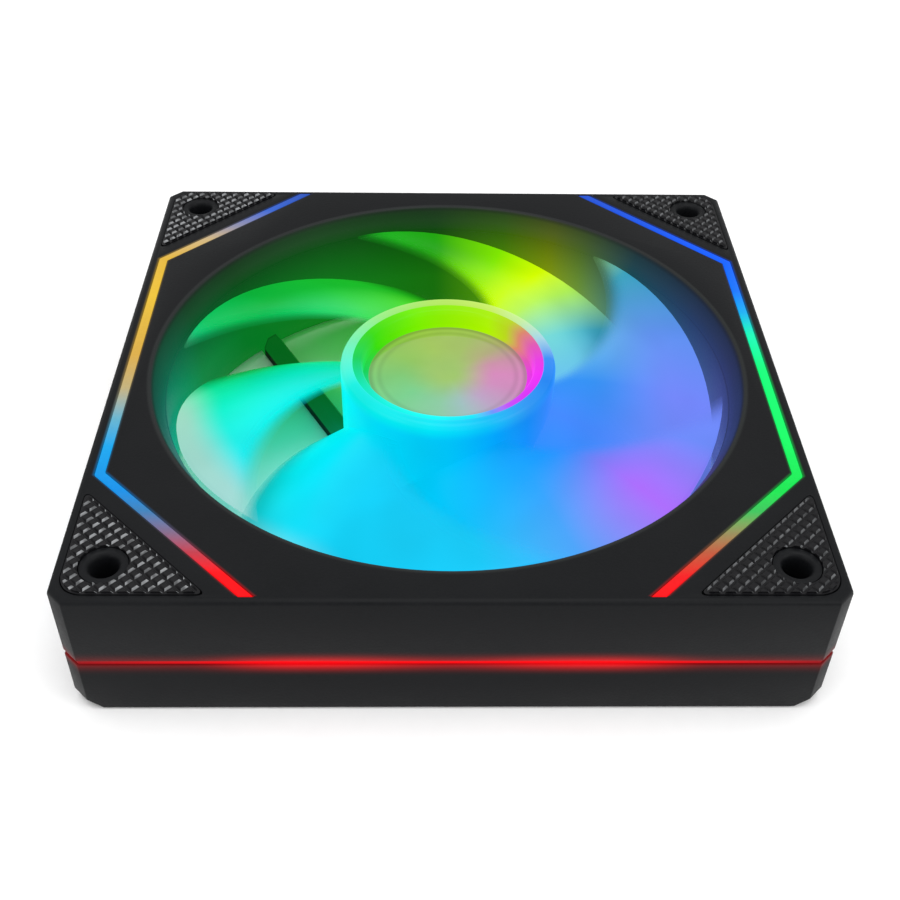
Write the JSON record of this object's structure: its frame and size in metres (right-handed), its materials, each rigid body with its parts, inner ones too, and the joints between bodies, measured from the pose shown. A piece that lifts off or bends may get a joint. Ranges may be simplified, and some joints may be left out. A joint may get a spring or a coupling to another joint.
{
  "type": "computer case fan",
  "caption": "Square black case fan with a lit translucent impeller, a mirror hub, inlaid light strips and knurled corner pads.",
  "frame": {"origin": "centre of the rear face, on the plane of the rear pads", "axes": "+Z along the rotor axis towards the intake face; +X and +Y along the sides of the square frame"},
  "size_m": [0.12, 0.12, 0.0258],
  "materials": {
    "shell": "satin black moulded plastic with a fine grain",
    "pad_rubber": "black rubber with a raised diamond knurl",
    "grommet_rubber": "smooth black rubber",
    "side_glow": "frosted light guide, lit red",
    "left_strip_glow": "frosted light guide, lit gold, blue and red along its length",
    "right_strip_glow": "frosted light guide, lit blue, green and red along its length",
    "lit_plastic": "milky translucent plastic, lit from the hub in many colours",
    "hub_glow": "frosted diffuser ring, lit green, cyan, blue and magenta",
    "mirror_film": "polished mirror",
    "circuit_board": "green solder mask",
    "label_film": "plain grey film with no print",
    "bearing_brass": "turned and oiled",
    "nylon": "natural nylon",
    "lamination_steel": "pressed steel",
    "shaft_steel": "ground steel",
    "ferrite": "plastic bonded ferrite",
    "enamelled_copper": "enamelled copper wire"
  },
  "bodies": {
    "housing": {"rear_frame": "shell", "front_cover": "shell", "side_light_band": "side_glow", "left_light_strip": "left_strip_glow", "right_light_strip": "right_strip_glow", "light_board": "circuit_board", "cable_gland": "grommet_rubber", "rear_label": "label_film", "motor_board": "circuit_board", "bearing_tube": "bearing_brass", "thrust_pad": "nylon", "bearing_sleeve": "bearing_brass", "stator_core": "lamination_steel", "lower_insulator": "nylon", "upper_insulator": "nylon", "coil_1": "enamelled_copper", "coil_2": "enamelled_copper", "coil_3": "enamelled_copper", "coil_4": "enamelled_copper", "front_pad_back_right": "pad_rubber", "rear_pad_back_right": "pad_rubber", "front_pad_back_left": "pad_rubber", "rear_pad_back_left": "pad_rubber", "front_pad_front_left": "pad_rubber", "rear_pad_front_left": "pad_rubber", "front_pad_front_right": "pad_rubber", "rear_pad_front_right": "pad_rubber"},
    "rotor": {"impeller": "lit_plastic", "hub_light_ring": "hub_glow", "half_mirror": "mirror_film", "back_mirror": "mirror_film", "rotor_yoke": "lamination_steel", "magnet_ring": "ferrite", "shaft": "shaft_steel", "shaft_clip": "shaft_steel"}
  },
  "joints": [
    {"name": "rotor_spin", "type": "hinge", "parent": "housing", "child": "rotor", "pos_m": [0, 0, 0.01], "axis": [0, 0, 1], "continuous": true}
  ]
}
